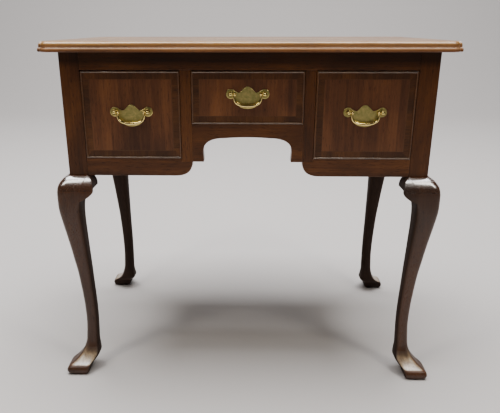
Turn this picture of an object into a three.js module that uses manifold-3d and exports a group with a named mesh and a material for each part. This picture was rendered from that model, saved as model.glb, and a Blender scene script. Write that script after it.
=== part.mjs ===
// A lowboy in the early Georgian manner: a small dressing table with one shallow
// drawer between two deep ones, an arched kneehole, and four cabriole legs.
// Millimetres, +Z up, front towards -Y. The origin is on the floor, under the middle.
import * as THREE from "three";
import { mergeVertices } from "three/addons/utils/BufferGeometryUtils.js";
import Module from "manifold-3d";

const wasm = await Module();
wasm.setup();

// Case
const caseWidth = 711;
const caseDepth = 426;
const caseHeight = 237;
const panelThickness = 19;
const backThickness = 12;
const railDepth = 22;
const topRailHeight = 33.6;
const lowerRailHeight = 35.5;
const glueLine = 0.1;
const cutOverrun = 1;

// Top board, moulded on the front and both ends
const topThickness = 19;
const topOverhang = 33.4;
const backOverhang = 12;
const cornerNotch = 20;
const notchStep = 6;
const notchFlat = 1;
const edgeArris = 1.2;
const edgeFillet = 6;
const thumbHeight = 9;
const thumbWidth = 8;

// Legs, sawn square from the blank and rounded: the post stands inside the case corner
const legHeight = 444;
const legReach = 38;
const postWidth = 37.5;
const postLap = 5;

// Ears, the shaped blocks glued to both sides of a knee
const earSpread = 49.2;
const earDrop = 50;
const earDepth = 22;
const earBlockDrop = 23;
const earLobeBack = 17;
const earGap = 0.25;

// Divisions between the drawers
const dividerWidth = 20.4;
const webThickness = 12;
const centreOpeningWidth = 216;
const centreOpeningHeight = 100.2;
const dividerDrop = 6.9;

// Kneehole
const archHalfWidth = 86.6;
const archStrip = 25.8;
const railCurveLength = 34;

// Runners and guides
const runnerHeight = 18;
const runnerLedge = 15;
const guideHeight = 18;

// Drawers
const drawerBackSpace = 38;
const frontThickness = 20;
const liningThickness = 8;
const bottomThickness = 6;
const bottomRaise = 5;
const beadWidth = 3;
const beadProud = 1.8;
const drawerSideGap = 1;
const drawerSeatGap = 0.3;
const drawerHeadGap = 1.6;
const tailLength = 14;
const tailPitch = 42;

// Handles
const lobeRadius = 9.1;
const crownRise = 13.7;
const dipOffset = 16;
const dipRise = 2.2;
const bellyHalfWidth = 26.5;
const bellyDrop = 27.8;
const plateThickness = 1.6;
const plateBevel = 0.5;
const postSpacing = 64.2;
const postRise = 7.5;
const shankRadius = 2.4;
const shankClearance = 0.3;
const collarRadius = 4.4;
const collarLength = 1.6;
const neckRadius = 2.7;
const ballRadius = 4.4;
const pivotStandOff = 9;
const threadOverhang = 2.4;
const nutWidth = 11;
const nutThickness = 3.2;
const pinRadius = 1.2;
const pinClearance = 0.3;
const pinEngagement = 3;
const bailDrop = 21.5;
const bailEndRadius = 1.9;
const bailGripRadius = 2.9;
const bailEyeRadius = 2.7;
const bailToBall = 0.35;

// Levels and places that follow
const halfWidth = caseWidth / 2;
const caseTop = legHeight + caseHeight;
const drawerTop = caseTop - topRailHeight;
const sideSill = legHeight + lowerRailHeight;
const sideOpeningHeight = drawerTop - sideSill;
const centreSill = drawerTop - centreOpeningHeight;
const dividerInner = centreOpeningWidth / 2;
const dividerOuter = dividerInner + dividerWidth;
const dividerFoot = sideSill - dividerDrop;
const postInner = halfWidth - postWidth;
const sideOpeningWidth = postInner - dividerOuter;
const webInner = dividerInner + (dividerWidth - webThickness) / 2;
const webOuter = webInner + webThickness;
const backFace = caseDepth - backThickness;
const drawerDepth = backFace - drawerBackSpace;
const sideCentre = (dividerOuter + postInner) / 2;

// Finishes
const mahogany = { color: 0x4a2818, roughness: 0.38, metalness: 0 };
const darkMahogany = { color: 0x35201a, roughness: 0.42, metalness: 0 };
const oak = { color: 0x8d6a43, roughness: 0.75, metalness: 0 };
const brass = { color: 0xb89a4e, roughness: 0.32, metalness: 1 };

const lowboy = new THREE.Group();
const cabinet = new THREE.Group();
cabinet.position.y = -caseDepth / 2;
lowboy.add(cabinet);

// Geometry to a solid and back
function stripped(geometry) {
  const bare = geometry.clone();
  bare.deleteAttribute("normal");
  bare.deleteAttribute("uv");
  return bare;
}

function toSolid(geometry) {
  const merged = mergeVertices(stripped(geometry));
  const vertProperties = new Float32Array(merged.attributes.position.array);
  const triVerts = new Uint32Array(merged.index.array);
  return new wasm.Manifold(new wasm.Mesh({ numProp: 3, vertProperties, triVerts }));
}

function toGeometry(solid) {
  const mesh = solid.getMesh();
  const geometry = new THREE.BufferGeometry();
  geometry.setAttribute("position", new THREE.BufferAttribute(mesh.vertProperties, 3));
  geometry.setIndex(new THREE.BufferAttribute(mesh.triVerts, 1));
  return geometry;
}

// A copy with its places turned by a matrix; a mirror also turns its triangles round
function moved(geometry, matrix) {
  const copy = mergeVertices(stripped(geometry));
  copy.applyMatrix4(matrix);
  if (matrix.determinant() < 0) {
    copy.setIndex(Array.from(copy.index.array).reverse());
  }
  return copy;
}

function piece(name, geometry, finish, parent = cabinet) {
  const bare = stripped(geometry);
  const shaded = bare.index ? bare.toNonIndexed() : bare;
  shaded.computeVertexNormals();
  const mesh = new THREE.Mesh(shaded, new THREE.MeshStandardMaterial(finish));
  mesh.name = name;
  parent.add(mesh);
  return mesh;
}

// A straight block between two corners
function block(low, high) {
  const size = high.map((value, axis) => value - low[axis]);
  const geometry = new THREE.BoxGeometry(...size);
  return geometry.translate(...low.map((value, axis) => value + size[axis] / 2));
}

// An outline drawn as seen from the front, cut through a board from y = 0 backwards
function sawnFromFront(outline, depth, curveSegments = 10) {
  const geometry = new THREE.ExtrudeGeometry(outline, { depth, curveSegments, bevelEnabled: false });
  return geometry.rotateX(Math.PI / 2).translate(0, depth, 0);
}

// An outline drawn as seen from the right, with its own x along Y, given a thickness along X
function sawnFromSide(outline, thickness) {
  const geometry = new THREE.ExtrudeGeometry(outline, { depth: thickness, bevelEnabled: false });
  const yAxis = new THREE.Vector3(0, 1, 0);
  const zAxis = new THREE.Vector3(0, 0, 1);
  const xAxis = new THREE.Vector3(1, 0, 0);
  return geometry.applyMatrix4(new THREE.Matrix4().makeBasis(yAxis, zAxis, xAxis));
}

function polygon(points) {
  return new THREE.Shape(points.map(([x, y]) => new THREE.Vector2(x, y)));
}

// A skin over rings of equal count, closed by a flat face at each end
function loft(rings, flatten = (point) => new THREE.Vector2(point.x, point.y)) {
  const count = rings[0].length;
  const positions = rings.flat().flatMap((point) => point.toArray());
  const index = [];
  for (let row = 0; row + 1 < rings.length; row++) {
    for (let i = 0; i < count; i++) {
      const next = (i + 1) % count;
      const lower = row * count;
      const upper = lower + count;
      index.push(lower + i, lower + next, upper + next);
      index.push(lower + i, upper + next, upper + i);
    }
  }
  const lastRow = (rings.length - 1) * count;
  const bottom = THREE.ShapeUtils.triangulateShape(rings[0].map(flatten), []);
  const top = THREE.ShapeUtils.triangulateShape(rings[rings.length - 1].map(flatten), []);
  for (const [a, b, c] of bottom) index.push(c, b, a);
  for (const [a, b, c] of top) index.push(lastRow + a, lastRow + b, lastRow + c);
  const geometry = new THREE.BufferGeometry();
  geometry.setAttribute("position", new THREE.Float32BufferAttribute(positions, 3));
  geometry.setIndex(index);
  return geometry;
}

// Top board: the outline steps in at both front corners round a small quarter circle,
// and the edge has a fillet below, a thumb moulding and a fillet above it
function frontCorner(inset) {
  const end = halfWidth + topOverhang;
  const front = -topOverhang;
  const centreX = end - cornerNotch + notchFlat;
  const centreY = front + cornerNotch - notchFlat;
  const radius = cornerNotch - notchFlat - notchStep - inset;
  const steps = 4;
  const points = [[end - cornerNotch - inset, front + inset]];
  points.push([end - cornerNotch - inset, front + notchStep + inset]);
  for (let i = 0; i <= steps; i++) {
    const turn = (Math.PI / 2) * (1 - i / steps);
    points.push([centreX + radius * Math.cos(turn), centreY - radius * Math.sin(turn)]);
  }
  points.push([end - notchStep - inset, front + cornerNotch + inset]);
  points.push([end - inset, front + cornerNotch + inset]);
  return points;
}

function topRing(inset, height) {
  const right = frontCorner(inset);
  const left = right.map(([x, y]) => [-x, y]).reverse();
  const end = halfWidth + topOverhang - inset;
  const back = caseDepth + backOverhang;
  const outline = [...left, ...right, [end, back], [-end, back]];
  return outline.map(([x, y]) => new THREE.Vector3(x, y, height));
}

function topBoard() {
  const underside = caseTop + glueLine;
  const rings = [topRing(edgeArris, underside), topRing(0, underside + edgeArris)];
  const steps = 4;
  for (let i = 0; i <= steps; i++) {
    const turn = (Math.PI / 2) * (i / steps);
    const inset = thumbWidth * (1 - Math.cos(turn));
    rings.push(topRing(inset, underside + edgeFillet + thumbHeight * Math.sin(turn)));
  }
  rings.push(topRing(thumbWidth, caseTop + topThickness));
  return loft(rings);
}
piece("top_board", topBoard(), mahogany);

// Case boards: side panels between the posts, the back between the rear posts, and the top rail
for (const [side, sign] of [["left", -1], ["right", 1]]) {
  const faces = [sign * halfWidth, sign * (halfWidth - panelThickness)];
  const low = [Math.min(...faces), postWidth + glueLine, legHeight];
  const high = [Math.max(...faces), caseDepth - postWidth - glueLine, caseTop];
  piece(`side_panel_${side}`, block(low, high), mahogany);
}
const railHalf = postInner - glueLine;
piece("back_panel", block([-railHalf, backFace, legHeight], [railHalf, caseDepth, caseTop]), oak);
piece("front_top_rail", block([-railHalf, 0, drawerTop], [railHalf, railDepth, caseTop]), mahogany);

// Cabriole leg in its own corner frame: x and y run inwards from the case corner, z up.
// Each station is [height share, outward share, inward share, squareness], with outward
// in shares of the leg's reach and inward in shares of the post's width. A last value is
// the squareness of the corners that meet the ears.
const legStationShares = [
  [0, 0.874, 0.16, 6], [0.007, 0.939, 0.24, 7], [0.022, 1, 0.31, 8], [0.038, 0.949, 0.33, 8],
  [0.0473, 0.825, 0.39, 7], [0.0586, 0.615, 0.55, 6], [0.0766, 0.394, 0.73, 5],
  [0.0946, 0.237, 0.745, 4.2], [0.117, 0.113, 0.735, 3.4], [0.144, 0.022, 0.71, 2.9],
  [0.185, -0.022, 0.728, 2.6], [0.2545, -0.065, 0.747, 2.6], [0.322, -0.054, 0.747, 2.7],
  [0.39, -0.016, 0.728, 2.8], [0.457, 0.046, 0.7, 2.9], [0.5225, 0.115, 0.679, 3],
  [0.588, 0.219, 0.655, 3.1], [0.651, 0.317, 0.63, 3.2], [0.714, 0.427, 0.61, 3.3],
  [0.775, 0.539, 0.591, 3.4], [0.8356, 0.642, 0.596, 3.6], [0.865, 0.664, 0.597, 3.8, 6],
  [0.892, 0.664, 0.625, 4, 14], [0.9167, 0.658, 0.69, 4.4, 14], [0.937, 0.645, 0.787, 4.8, 14],
  [0.955, 0.597, 0.88, 5.2, 14], [0.9685, 0.516, 0.94, 6, 14], [0.982, 0.391, 0.987, 7, 14],
  [0.991, 0.281, 1, 8, 14], [1, 0.086, 1, 10, 14],
];
const legSides = 20;

function legRing([heightShare, outShare, inShare, squareness, earSquareness = squareness], clearance) {
  const outer = -legReach * outShare - clearance;
  const inner = postWidth * inShare + clearance;
  const middle = (outer + inner) / 2;
  const half = (inner - outer) / 2;
  const bulge = (value, power) => Math.sign(value) * Math.abs(value) ** (2 / power);
  const ring = [];
  for (let i = 0; i < legSides; i++) {
    const turn = (2 * Math.PI * (i + 1 / 2)) / legSides;
    const power = Math.cos(turn) < 0 && Math.sin(turn) < 0 ? squareness : earSquareness;
    const x = middle + half * bulge(Math.cos(turn), power);
    const y = middle + half * bulge(Math.sin(turn), power);
    ring.push(new THREE.Vector3(x, y, legHeight * heightShare));
  }
  return ring;
}

function legSolid(clearance) {
  const shaft = toSolid(loft(legStationShares.map((station) => legRing(station, clearance))));
  const low = [-clearance, -clearance, legHeight - postLap];
  const high = [postWidth + clearance, postWidth + clearance, caseTop];
  return shaft.add(toSolid(block(low, high)));
}

// Ear: its front is an S that spreads from the post to a lobe and turns back to the leg,
// and its face carries on the curve of the knee. Behind the thin lobe it is cut away below
// the block that fills the corner under the case. Rises are shares of its drop, the root a
// share of the post's width, and the rest shares of its spread.
const earShares = {
  root: 0.5,
  turnRise: 0.14,
  hollow: 0.94,
  hollowRise: 0.32,
  lobeTurn: 1.03,
  lobeTurnRise: 0.43,
  lobeRise: 0.56,
  cheek: 1.02,
  cheekRise: 0.86,
};

function earSolid() {
  const top = legHeight - glueLine;
  const foot = legHeight - earDrop;
  const root = postWidth * earShares.root;
  const spread = (share) => earSpread * share;
  const rise = (share) => foot + earDrop * share;
  const outline = new THREE.Shape();
  outline.moveTo(root, foot);
  outline.quadraticCurveTo(
    postWidth, rise(earShares.turnRise), spread(earShares.hollow), rise(earShares.hollowRise),
  );
  outline.quadraticCurveTo(
    spread(earShares.lobeTurn), rise(earShares.lobeTurnRise), earSpread, rise(earShares.lobeRise),
  );
  outline.quadraticCurveTo(spread(earShares.cheek), rise(earShares.cheekRise), postWidth, top);
  outline.lineTo(root, top);
  const front = sawnFromFront(outline, legReach + earDepth, 6).translate(0, -legReach, 0);
  const kneeShares = legStationShares.filter(([heightShare]) => heightShare * legHeight > foot);
  const knee = kneeShares.map(([heightShare, outShare]) => [-legReach * outShare, legHeight * heightShare]);
  const below = [-legReach * kneeShares[0][1], foot];
  const blockFoot = legHeight - earBlockDrop;
  const back = [[earDepth, legHeight], [earDepth, blockFoot], [-earLobeBack, blockFoot]];
  const profile = polygon([below, ...knee, ...back, [-earLobeBack, foot]]);
  const side = sawnFromSide(profile, earSpread + cutOverrun);
  return toSolid(front).intersect(toSolid(side)).subtract(legSolid(earGap));
}

const legGeometry = toGeometry(legSolid(0));
const earGeometry = toGeometry(earSolid());
const swapXY = new THREE.Matrix4().set(0, 1, 0, 0, 1, 0, 0, 0, 0, 0, 1, 0, 0, 0, 0, 1);
const corners = [
  ["front_left", 1, 1], ["front_right", -1, 1], ["rear_left", 1, -1], ["rear_right", -1, -1],
];
for (const [corner, towardsX, towardsY] of corners) {
  const turn = new THREE.Matrix4().makeScale(towardsX, towardsY, 1);
  const place = new THREE.Group();
  place.position.set(-towardsX * halfWidth, towardsY > 0 ? 0 : caseDepth, 0);
  cabinet.add(place);
  piece(`leg_${corner}`, moved(legGeometry, turn), darkMahogany, place);
  const sideTurn = turn.clone().multiply(swapXY);
  piece(`knee_ear_side_${corner}`, moved(earGeometry, sideTurn), darkMahogany, place);
  if (towardsY > 0) {
    piece(`knee_ear_${corner}`, moved(earGeometry, turn), darkMahogany, place);
  }
}

// Dividers: a show-wood stile in front of a thinner web that runs to the back
function dividerGeometry() {
  const stileTop = drawerTop - glueLine;
  const stile = block([dividerInner, 0, dividerFoot], [dividerOuter, railDepth, stileTop]);
  const tongueLow = [webInner, railDepth - cutOverrun, sideSill];
  const tongue = block(tongueLow, [webOuter, railDepth + cutOverrun, stileTop]);
  const webLow = [webInner, railDepth + glueLine, sideSill - runnerHeight];
  const web = block(webLow, [webOuter, backFace - glueLine, caseTop]);
  return toGeometry(toSolid(stile).add(toSolid(tongue)).add(toSolid(web)));
}

// Lower rail under a side drawer, its inner end rounded into the kneehole
function lowerRailGeometry() {
  const tongue = dividerFoot - glueLine;
  const outline = new THREE.Shape();
  const start = dividerInner + glueLine;
  outline.moveTo(start, tongue);
  outline.quadraticCurveTo(start, legHeight, start + railCurveLength, legHeight);
  outline.lineTo(railHalf, legHeight);
  outline.lineTo(railHalf, sideSill);
  outline.lineTo(dividerOuter + glueLine, sideSill);
  outline.lineTo(dividerOuter + glueLine, tongue);
  return sawnFromFront(outline, railDepth);
}

// Apron between the dividers, with the kneehole arch sawn out of it: the arch draws in a
// little at its foot, and its crown is nearly flat between two round shoulders. A strip of
// even height stays above the crown, and the shoulders bend over a share of the arch's rise.
const archFootShare = 0.985;
const archHaunchShare = 0.594;
const archShoulderShare = 0.5;
const archShoulderDropShare = 0.035;

function archGeometry() {
  const half = dividerInner - glueLine;
  const foot = archHalfWidth * archFootShare;
  const crown = centreSill - archStrip;
  const rise = crown - dividerFoot;
  const haunch = crown - rise * archHaunchShare;
  const shoulderX = archHalfWidth * archShoulderShare;
  const shoulderZ = crown - rise * archShoulderDropShare;
  const outline = new THREE.Shape();
  outline.moveTo(-half, centreSill);
  outline.lineTo(-half, dividerFoot);
  outline.lineTo(-foot, dividerFoot);
  outline.lineTo(-archHalfWidth, haunch);
  outline.quadraticCurveTo(-archHalfWidth, shoulderZ, -shoulderX, shoulderZ);
  outline.quadraticCurveTo(-shoulderX / 2, crown, 0, crown);
  outline.quadraticCurveTo(shoulderX / 2, crown, shoulderX, shoulderZ);
  outline.quadraticCurveTo(archHalfWidth, shoulderZ, archHalfWidth, haunch);
  outline.lineTo(foot, dividerFoot);
  outline.lineTo(half, dividerFoot);
  outline.lineTo(half, centreSill);
  return sawnFromFront(outline, railDepth, 8);
}
piece("arch_apron", archGeometry(), mahogany);

// Runners: a ledge under each drawer side, and outside the deep drawers a guide upon it
function outerRunnerGeometry() {
  const wall = halfWidth - panelThickness - glueLine;
  const low = sideSill - runnerHeight;
  const ledge = postInner - runnerLedge;
  const guide = sideSill + guideHeight;
  const points = [[ledge, low], [wall, low], [wall, guide], [postInner, guide]];
  points.push([postInner, sideSill], [ledge, sideSill]);
  const length = caseDepth - 2 * postWidth - 2 * glueLine;
  return sawnFromFront(polygon(points), length).translate(0, postWidth + glueLine, 0);
}

function webRunnerGeometry(face, ledge, sill) {
  const xs = [face, ledge].sort((a, b) => a - b);
  const low = [xs[0], railDepth + glueLine, sill - runnerHeight];
  return block(low, [xs[1], backFace - glueLine, sill]);
}

for (const [side, sign] of [["left", -1], ["right", 1]]) {
  const turn = new THREE.Matrix4().makeScale(sign, 1, 1);
  const innerLedge = dividerOuter + drawerSideGap + runnerLedge;
  const centreLedge = dividerInner - drawerSideGap - runnerLedge;
  const inner = webRunnerGeometry(webOuter + glueLine, innerLedge, sideSill);
  const centre = webRunnerGeometry(webInner - glueLine, centreLedge, centreSill);
  piece(`divider_${side}`, moved(dividerGeometry(), turn), mahogany);
  piece(`lower_rail_${side}`, moved(lowerRailGeometry(), turn), mahogany);
  piece(`runner_outer_${side}`, moved(outerRunnerGeometry(), turn), oak);
  piece(`runner_inner_${side}`, moved(inner, turn), oak);
  piece(`runner_centre_${side}`, moved(centre, turn), oak);
}

// Dovetails: tails on the drawer side, wider at their ends, as outlines seen from the side.
// The clearance widens them into the sockets of the drawer front.
const tailRootShare = 0.27;
const tailEndShare = 0.36;

function tailOutlines(height, root, clearance) {
  const count = Math.max(2, Math.round(height / tailPitch));
  const pitch = height / count;
  const end = frontThickness - tailLength - clearance;
  const narrow = pitch * tailRootShare + clearance;
  const wide = pitch * tailEndShare + clearance;
  const tails = [];
  for (let i = 0; i < count; i++) {
    const middle = pitch * (i + 1 / 2);
    const seat = frontThickness;
    const tail = [[end, middle - wide], [seat, middle - narrow], [root, middle - narrow]];
    tail.push([root, middle + narrow], [seat, middle + narrow], [end, middle + wide]);
    tails.push(polygon(tail));
  }
  return tails;
}

function drawerSideGeometry(height) {
  const start = frontThickness + glueLine;
  const board = polygon([[start, 0], [drawerDepth, 0], [drawerDepth, height], [start, height]]);
  let solid = toSolid(sawnFromSide(board, liningThickness));
  for (const tail of tailOutlines(height, start + cutOverrun, 0)) {
    solid = solid.add(toSolid(sawnFromSide(tail, liningThickness)));
  }
  return toGeometry(solid);
}

// Drawer front: a board with a raised bead round its edge, sockets for the side tails
// and bores for the two handle posts
function rod(radius, length, sides = 12) {
  return new THREE.CylinderGeometry(radius, radius, length, sides);
}

function drawerFrontGeometry(width, height) {
  const half = width / 2;
  let solid = toSolid(block([-half, 0, 0], [half, frontThickness, height]));
  const bead = polygon([[-half, 0], [half, 0], [half, height], [-half, height]]);
  const inner = half - beadWidth;
  const upper = height - beadWidth;
  bead.holes.push(polygon([[-inner, beadWidth], [-inner, upper], [inner, upper], [inner, beadWidth]]));
  const ring = sawnFromFront(bead, beadProud + cutOverrun).translate(0, -beadProud, 0);
  solid = solid.add(toSolid(ring));
  const socketDepth = liningThickness + glueLine;
  for (const tail of tailOutlines(height, frontThickness + cutOverrun, glueLine)) {
    const socket = sawnFromSide(tail, socketDepth + cutOverrun);
    const left = socket.clone().translate(-half - cutOverrun, 0, 0);
    const right = socket.clone().translate(half - socketDepth, 0, 0);
    solid = solid.subtract(toSolid(left)).subtract(toSolid(right));
  }
  for (const sign of [-1, 1]) {
    const bore = rod(shankRadius + shankClearance, frontThickness + 2 * cutOverrun);
    bore.translate((sign * postSpacing) / 2, frontThickness / 2, height / 2 + postRise);
    solid = solid.subtract(toSolid(bore));
  }
  return toGeometry(solid);
}

// Batwing backplate, with the post level at z = 0: a full belly that runs into a round lobe
// at each post, a dip beside the lobe, and a rounded crown. Its bends are shares of the
// belly's half width and drop, of the dip's offset and rise, and of the crown's rise, and
// the lobe ends at a share of a half turn.
const plateShares = {
  bellyAcross: 0.56,
  flankAcross: 0.96,
  flankDrop: 0.68,
  lobeTurn: 0.64,
  neckAcross: 1.35,
  neckRise: 1.4,
  ogeeAcross: 0.7,
  ogeeRise: 0.3,
  crownAcross: 0.46,
};

function plateGeometry() {
  const postX = postSpacing / 2;
  const joinX = bellyHalfWidth - postX;
  const joinZ = -Math.sqrt(lobeRadius ** 2 - joinX ** 2);
  const joinTurn = Math.atan2(joinZ, joinX);
  const belly = (share) => bellyHalfWidth * share;
  const dip = (share) => dipOffset * share;
  const flankZ = -bellyDrop * plateShares.flankDrop;
  const neckZ = dipRise * plateShares.neckRise;
  const ogeeZ = crownRise * plateShares.ogeeRise;
  const half = new THREE.Path();
  half.moveTo(0, -bellyDrop);
  half.bezierCurveTo(
    belly(plateShares.bellyAcross), -bellyDrop, belly(plateShares.flankAcross), flankZ,
    bellyHalfWidth, joinZ,
  );
  half.absarc(postX, 0, lobeRadius, joinTurn, Math.PI * plateShares.lobeTurn, false);
  half.quadraticCurveTo(dip(plateShares.neckAcross), neckZ, dipOffset, dipRise);
  half.bezierCurveTo(
    dip(plateShares.ogeeAcross), ogeeZ, dip(plateShares.crownAcross), crownRise, 0, crownRise,
  );
  const right = half.getPoints(6);
  const left = right.slice(1, -1).reverse().map((point) => new THREE.Vector2(-point.x, point.y));
  const outline = new THREE.Shape([...right, ...left]);
  for (const sign of [-1, 1]) {
    const hole = new THREE.Path();
    hole.absarc(sign * postX, 0, shankRadius + shankClearance, 0, 2 * Math.PI, true);
    outline.holes.push(hole);
  }
  const options = {
    depth: plateThickness - 2 * plateBevel,
    bevelEnabled: true,
    bevelSegments: 1,
    bevelThickness: plateBevel,
    bevelSize: plateBevel,
    bevelOffset: -plateBevel,
    curveSegments: 5,
  };
  const geometry = new THREE.ExtrudeGeometry(outline, options);
  return geometry.rotateX(Math.PI / 2).translate(0, -glueLine - plateBevel, 0);
}

// Handle post: a turned bolt with a ball head, drilled from the inner side for the bail's pin
const plateFace = -glueLine - plateThickness;
const boltEnd = frontThickness + glueLine + nutThickness + threadOverhang;

function postGeometry() {
  const profile = [];
  const ballSteps = 6;
  const neckTurn = Math.PI - Math.asin(neckRadius / ballRadius);
  for (let i = 0; i <= ballSteps; i++) {
    const turn = (neckTurn * i) / ballSteps;
    const radius = ballRadius * Math.sin(turn);
    profile.push(new THREE.Vector2(radius, -pivotStandOff - ballRadius * Math.cos(turn)));
  }
  const collarBack = plateFace - glueLine;
  profile.push(new THREE.Vector2(neckRadius, collarBack - collarLength));
  profile.push(new THREE.Vector2(collarRadius, collarBack - collarLength));
  profile.push(new THREE.Vector2(collarRadius, collarBack));
  profile.push(new THREE.Vector2(shankRadius, collarBack));
  profile.push(new THREE.Vector2(shankRadius, boltEnd));
  profile.push(new THREE.Vector2(0, boltEnd));
  const post = toSolid(new THREE.LatheGeometry(profile, 12));
  const holeLength = pinEngagement + pinClearance + cutOverrun;
  const hole = rod(pinRadius + pinClearance, holeLength, 8).rotateZ(Math.PI / 2);
  hole.translate(-ballRadius - cutOverrun + holeLength / 2, -pivotStandOff, 0);
  return toGeometry(post.subtract(toSolid(hole)));
}

function nutGeometry() {
  const half = nutWidth / 2;
  const outline = polygon([[-half, -half], [half, -half], [half, half], [-half, half]]);
  const hole = new THREE.Path();
  hole.absarc(0, 0, shankRadius + shankClearance, 0, 2 * Math.PI, true);
  outline.holes.push(hole);
  return sawnFromFront(outline, nutThickness, 6).translate(0, frontThickness + glueLine, 0);
}

// Bail: a drop loop that thickens to its grip, with an eye and a pin at each end,
// drawn about the line through both pins
const eyeX = postSpacing / 2 - ballRadius - bailToBall - bailEyeRadius;
const bailPathShares = [[-1, 0], [-1.03, -0.34], [-0.88, -0.74], [-0.48, -0.95], [0, -1]];

function bailGeometry() {
  const half = bailPathShares.map(([x, z]) => new THREE.Vector3(x * eyeX, 0, z * bailDrop));
  const other = half.slice(0, -1).reverse().map((point) => new THREE.Vector3(-point.x, 0, point.z));
  const path = new THREE.CatmullRomCurve3([...half, ...other]);
  const steps = 18;
  const sides = 8;
  const forward = new THREE.Vector3(0, 1, 0);
  const rings = [];
  for (let i = 0; i <= steps; i++) {
    const share = i / steps;
    const along = path.getTangentAt(share);
    const across = new THREE.Vector3().crossVectors(along, forward);
    const swell = Math.sin(Math.PI * share) ** 2;
    const radius = bailEndRadius + (bailGripRadius - bailEndRadius) * swell;
    const ring = [];
    for (let side = 0; side < sides; side++) {
      const turn = (2 * Math.PI * side) / sides;
      const point = path.getPointAt(share);
      point.addScaledVector(forward, radius * Math.cos(turn));
      point.addScaledVector(across, radius * Math.sin(turn));
      ring.push(point);
    }
    rings.push(ring);
  }
  const around = (point, side) => {
    const turn = (2 * Math.PI * side) / sides;
    return new THREE.Vector2(Math.cos(turn), Math.sin(turn));
  };
  let solid = toSolid(loft(rings, around));
  const pinEnd = postSpacing / 2 - ballRadius + pinEngagement;
  for (const sign of [-1, 1]) {
    const eye = new THREE.SphereGeometry(bailEyeRadius, 10, 6).translate(sign * eyeX, 0, 0);
    const pin = rod(pinRadius, pinEnd - eyeX, 8).rotateZ(Math.PI / 2);
    pin.translate((sign * (pinEnd + eyeX)) / 2, 0, 0);
    solid = solid.add(toSolid(eye)).add(toSolid(pin));
  }
  return toGeometry(solid);
}

const plate = plateGeometry();
const post = postGeometry();
const nut = nutGeometry();
const bail = bailGeometry();
const mirrorX = new THREE.Matrix4().makeScale(-1, 1, 1);

// A handle on a drawer front, its parts placed about the middle of the post line
function addHandle(side, drawer, height) {
  const handle = new THREE.Group();
  handle.position.z = height / 2 + postRise;
  drawer.add(handle);
  piece(`handle_${side}_plate`, plate, brass, handle);
  for (const [end, sign] of [["left", -1], ["right", 1]]) {
    const turned = sign > 0 ? post : moved(post, mirrorX);
    piece(`handle_${side}_post_${end}`, turned, brass, handle).position.x = (sign * postSpacing) / 2;
    piece(`handle_${side}_nut_${end}`, nut, brass, handle).position.x = (sign * postSpacing) / 2;
  }
  piece(`handle_${side}_bail`, bail, brass, handle).position.y = -pivotStandOff;
}

// Drawer box: the sides are dovetailed to the front, the bottom lies between them on a
// raised rebate, and the back stands on the bottom
function addDrawer(side, centreX, openingWidth, sill, openingHeight) {
  const width = openingWidth - 2 * drawerSideGap;
  const height = openingHeight - drawerSeatGap - drawerHeadGap;
  const drawer = new THREE.Group();
  drawer.position.set(centreX, 0, sill + drawerSeatGap);
  cabinet.add(drawer);
  piece(`drawer_${side}_front`, drawerFrontGeometry(width, height), mahogany, drawer);
  const lining = drawerSideGeometry(height);
  const inner = width / 2 - liningThickness;
  piece(`drawer_${side}_side_left`, lining, oak, drawer).position.x = -width / 2;
  piece(`drawer_${side}_side_right`, lining, oak, drawer).position.x = inner;
  const reach = inner - glueLine;
  const floor = bottomRaise + bottomThickness;
  const bottomLow = [-reach, frontThickness + glueLine, bottomRaise];
  piece(`drawer_${side}_bottom`, block(bottomLow, [reach, drawerDepth, floor]), oak, drawer);
  const backLow = [-reach, drawerDepth - liningThickness, floor + glueLine];
  piece(`drawer_${side}_back`, block(backLow, [reach, drawerDepth, height]), oak, drawer);
  addHandle(side, drawer, height);
}

addDrawer("left", -sideCentre, sideOpeningWidth, sideSill, sideOpeningHeight);
addDrawer("centre", 0, centreOpeningWidth, centreSill, centreOpeningHeight);
addDrawer("right", sideCentre, sideOpeningWidth, sideSill, sideOpeningHeight);

export default lowboy;
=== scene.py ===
from math import cos, pi, radians, sin

import bmesh
import bpy
from mathutils import Euler, Matrix, Vector


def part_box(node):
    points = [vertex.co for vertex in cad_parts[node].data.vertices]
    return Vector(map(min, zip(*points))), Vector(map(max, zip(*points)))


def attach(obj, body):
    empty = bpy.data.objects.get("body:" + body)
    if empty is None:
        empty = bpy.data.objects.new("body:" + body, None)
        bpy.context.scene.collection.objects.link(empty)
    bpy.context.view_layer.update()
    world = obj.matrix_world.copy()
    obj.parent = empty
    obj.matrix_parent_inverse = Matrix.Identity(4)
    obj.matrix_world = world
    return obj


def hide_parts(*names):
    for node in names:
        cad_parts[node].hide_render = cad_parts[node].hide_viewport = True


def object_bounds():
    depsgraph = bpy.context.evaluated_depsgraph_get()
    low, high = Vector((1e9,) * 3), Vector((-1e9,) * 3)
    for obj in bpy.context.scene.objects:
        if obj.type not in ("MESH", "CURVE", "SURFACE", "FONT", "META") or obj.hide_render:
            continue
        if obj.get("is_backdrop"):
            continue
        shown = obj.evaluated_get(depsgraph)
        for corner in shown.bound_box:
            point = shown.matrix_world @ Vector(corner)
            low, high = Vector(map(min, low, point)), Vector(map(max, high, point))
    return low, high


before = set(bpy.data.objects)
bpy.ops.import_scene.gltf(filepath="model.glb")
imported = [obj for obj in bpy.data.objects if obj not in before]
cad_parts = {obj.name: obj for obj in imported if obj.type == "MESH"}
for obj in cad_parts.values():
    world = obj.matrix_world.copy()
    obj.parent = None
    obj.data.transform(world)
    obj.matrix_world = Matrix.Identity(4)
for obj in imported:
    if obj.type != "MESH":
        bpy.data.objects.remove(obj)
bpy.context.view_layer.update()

# The legs: each is one length of dark mahogany, sawn to the cabriole curve on two faces and
# rounded with rasps. Its upper end stays square, as the post that stands in the case corner.
# Later sections use the wood, the edge easing and the fitting that are set out here.
case_half_width = 0.3555
case_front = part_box("front_top_rail")[0][1]
leg_height = 0.444
case_top = 0.681
leg_reach = 0.038
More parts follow.
